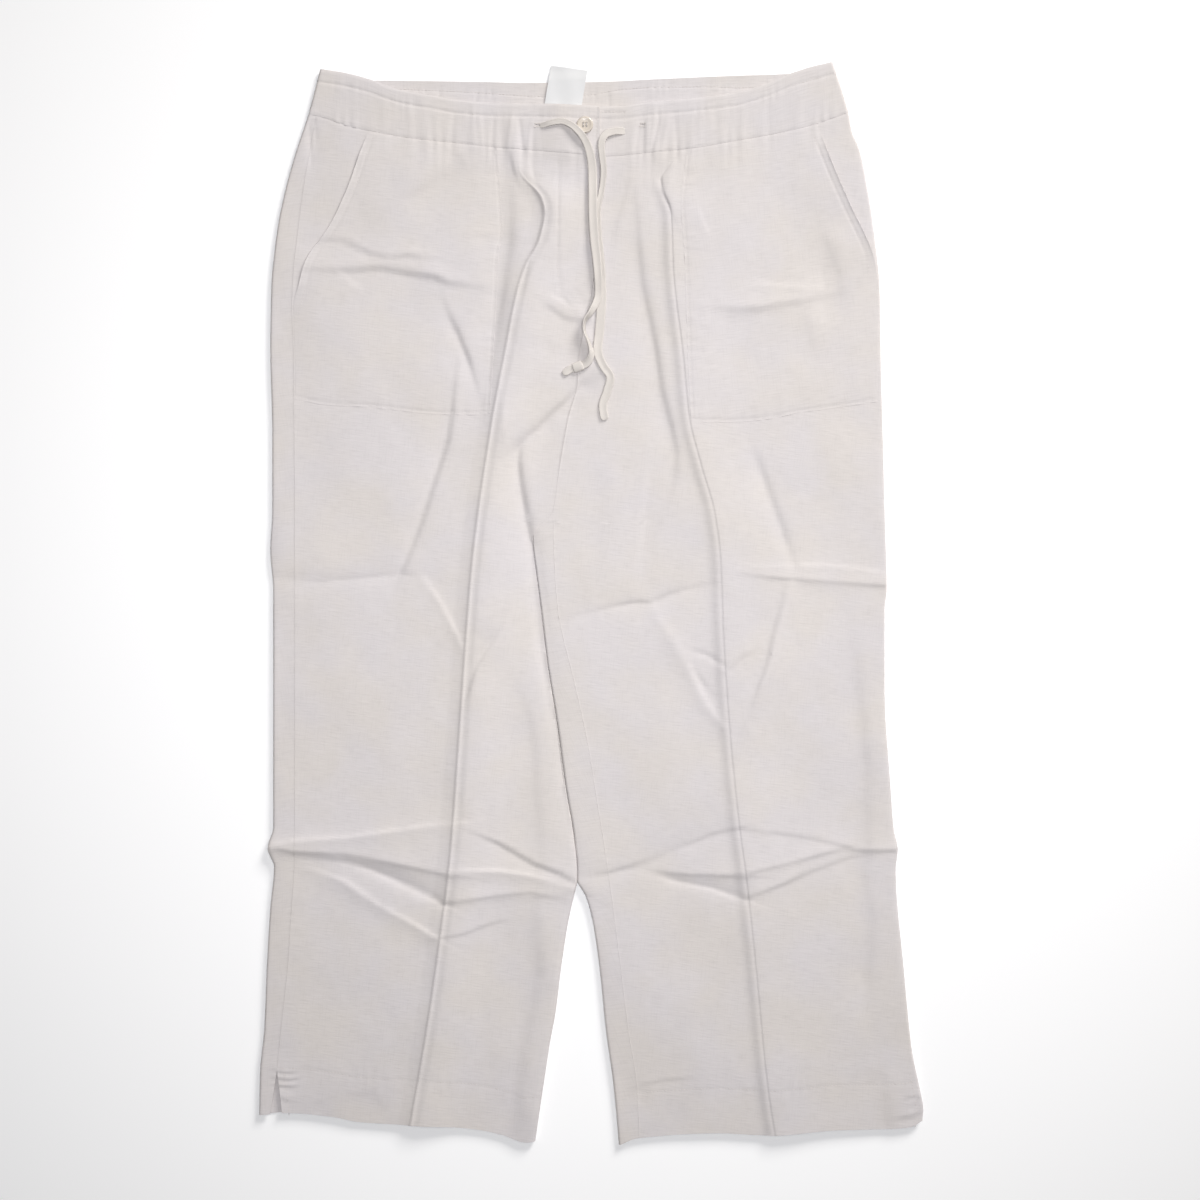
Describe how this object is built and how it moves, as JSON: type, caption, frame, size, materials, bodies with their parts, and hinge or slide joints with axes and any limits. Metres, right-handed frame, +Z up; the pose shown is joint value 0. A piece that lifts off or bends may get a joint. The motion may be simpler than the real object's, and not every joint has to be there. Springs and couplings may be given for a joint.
{
  "type": "capri pants",
  "caption": "Loose cropped cloth trousers lying flat, with a shaped drawstring waistband, buttoned fly, slanted patch pockets and side slits at the hems.",
  "frame": {"origin": "centre of the laid-out garment's footprint, on the surface that it lies on", "axes": "+X towards the wearer's left, +Y from the hems to the waist, +Z up from the surface"},
  "size_m": [0.5636, 0.9206, 0.0137],
  "materials": {
    "cloth": "off-white woven linen and viscose, soft slub, matt with a faint sheen",
    "tape": "cream folded self-fabric tape, matt",
    "label": "white satin ribbon, bare, soft sheen",
    "button": "cream resin, polished"
  },
  "bodies": {
    "root": {"front_panel_r": "cloth", "front_panel_l": "cloth", "back_panel_r": "cloth", "back_panel_l": "cloth", "waistband_front_r": "cloth", "waistband_front_l": "cloth", "waistband_back": "cloth", "pocket_r": "cloth", "pocket_l": "cloth", "care_label": "label", "waist_button": "button", "drawstring_r": "tape", "drawstring_l": "tape"}
  },
  "joints": []
}
